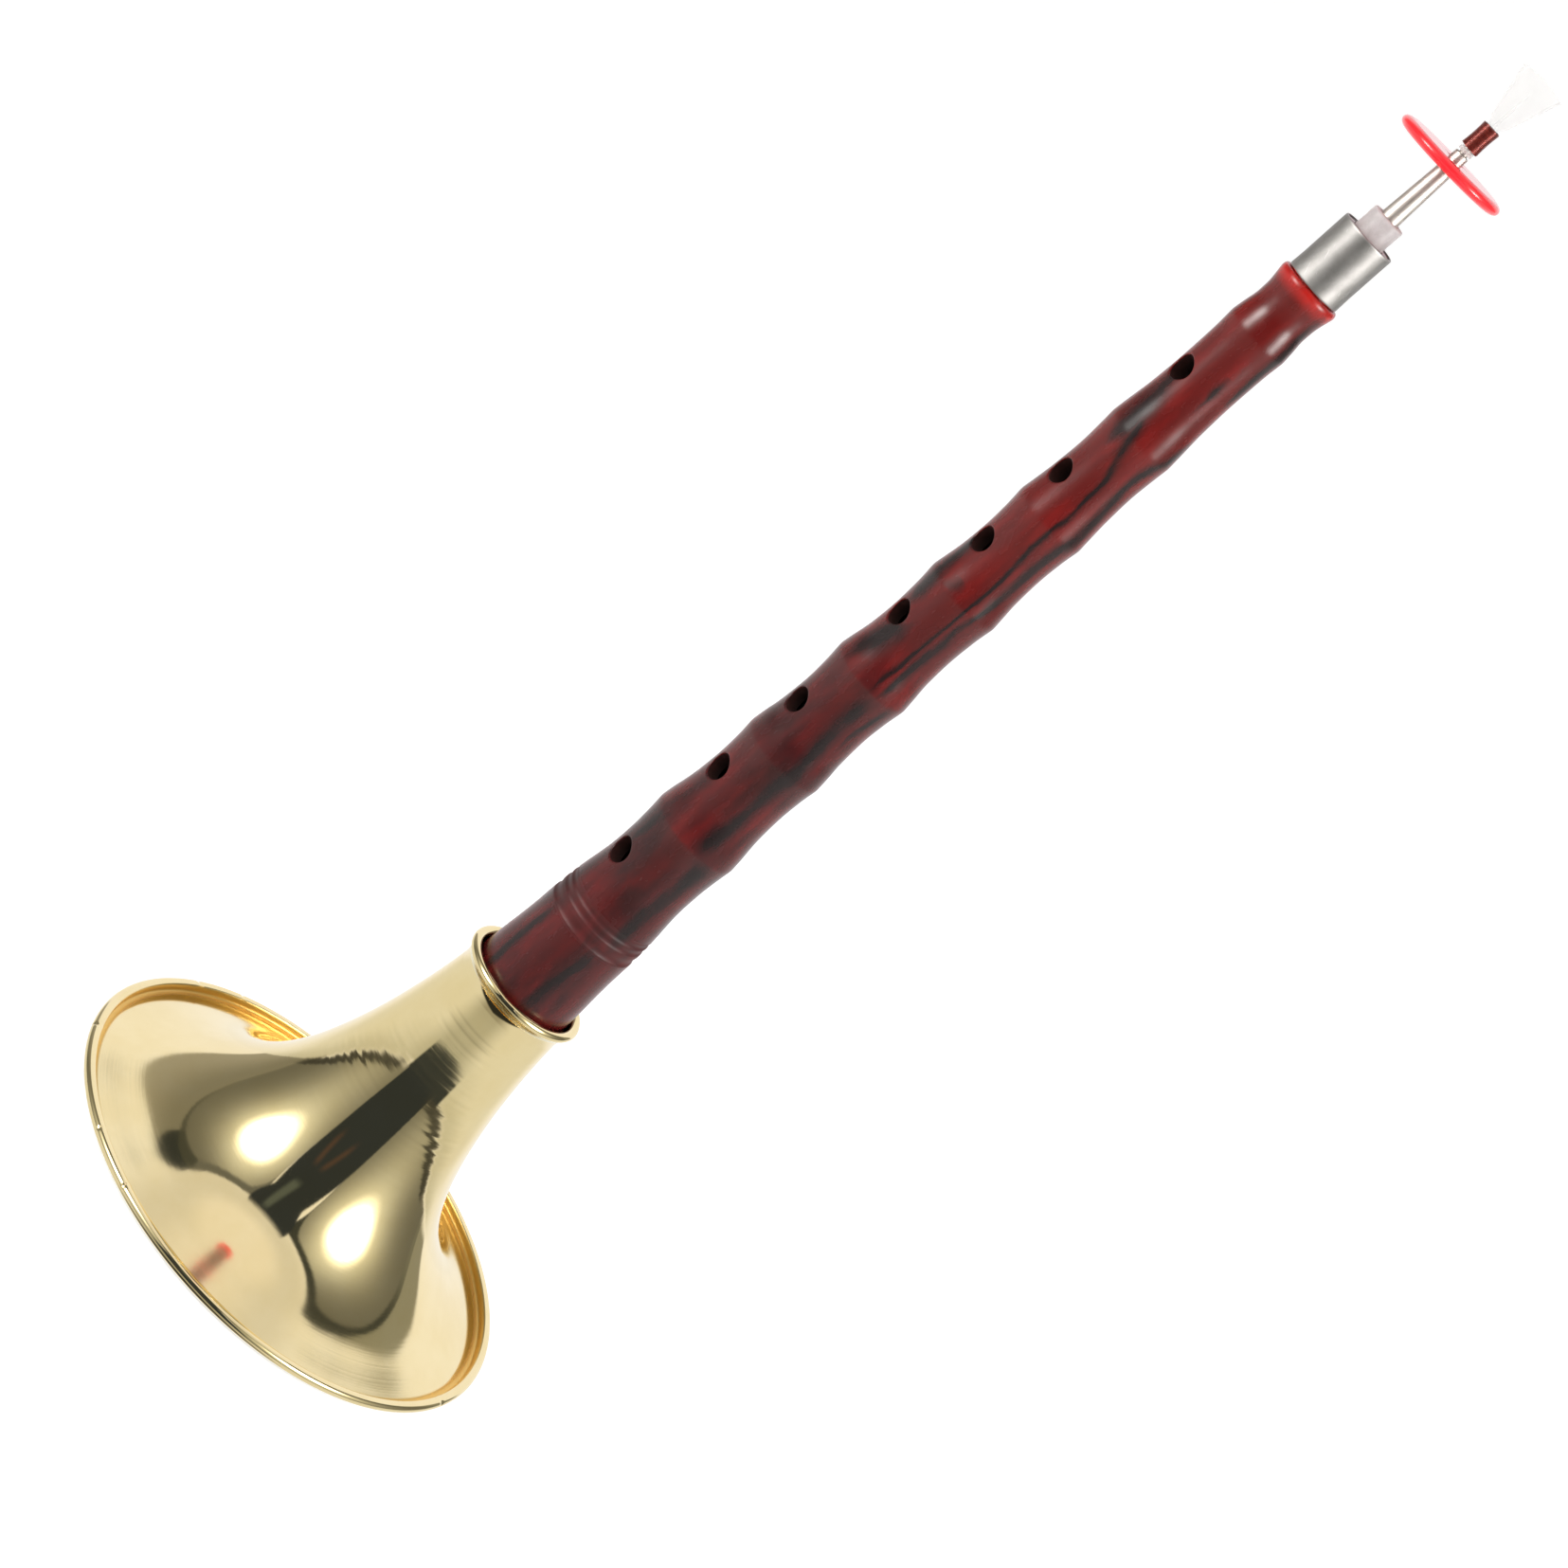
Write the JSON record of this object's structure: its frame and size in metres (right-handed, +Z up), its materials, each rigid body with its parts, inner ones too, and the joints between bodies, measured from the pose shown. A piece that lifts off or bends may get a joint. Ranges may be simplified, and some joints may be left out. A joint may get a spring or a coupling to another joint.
{
  "type": "suona",
  "caption": "Conical double-reed wind instrument: bamboo-jointed dark red pipe, spun metal bell, metal top sleeve, staple with lip disc, and a flattened reed bound with wire.",
  "frame": {"origin": "centre of the bell's mouth, on the plane that the rim stands on", "axes": "+Z up the bore axis from the bell to the reed; the seven front finger holes face -Y and the thumb hole faces +Y"},
  "size_m": [0.1414, 0.1414, 0.43],
  "materials": {
    "bell_metal": "polished pale gold",
    "pipe_wood": "dark red rosewood, satin gloss, near-black streaks",
    "cork": "fine cork, matte",
    "sleeve_metal": "satin, finely scratched",
    "plug_plastic": "frosted translucent",
    "staple_metal": "polished nickel",
    "disc_plastic": "glossy bright red",
    "reed_film": "thin clear plastic",
    "winding_wire": "enamelled copper wire, glossy"
  },
  "bodies": {
    "bell": {"bell": "bell_metal"},
    "pipe": {"pipe": "pipe_wood", "tenon_cork": "cork", "top_sleeve": "sleeve_metal"},
    "plug": {"staple_plug": "plug_plastic"},
    "staple": {"staple": "staple_metal"},
    "disc": {"lip_disc": "disc_plastic"},
    "reed": {"reed": "reed_film", "reed_winding": "winding_wire"}
  },
  "joints": [
    {"name": "pipe_pull", "type": "slide", "parent": "bell", "child": "pipe", "axis": [0, 0, 1], "range_m": [0, 0.027]},
    {"name": "plug_slide", "type": "slide", "parent": "pipe", "child": "plug", "axis": [0, 0, 1], "range_m": [0, 0.014]},
    {"name": "staple_turn", "type": "hinge", "parent": "plug", "child": "staple", "pos_m": [0, 0, 0.384], "axis": [0, 0, 1], "continuous": true},
    {"name": "disc_slide", "type": "slide", "parent": "staple", "child": "disc", "axis": [0, 0, 1], "range_m": [0, 0.0033]},
    {"name": "reed_pull", "type": "slide", "parent": "staple", "child": "reed", "axis": [0, 0, 1], "range_m": [0, 0.007]}
  ]
}
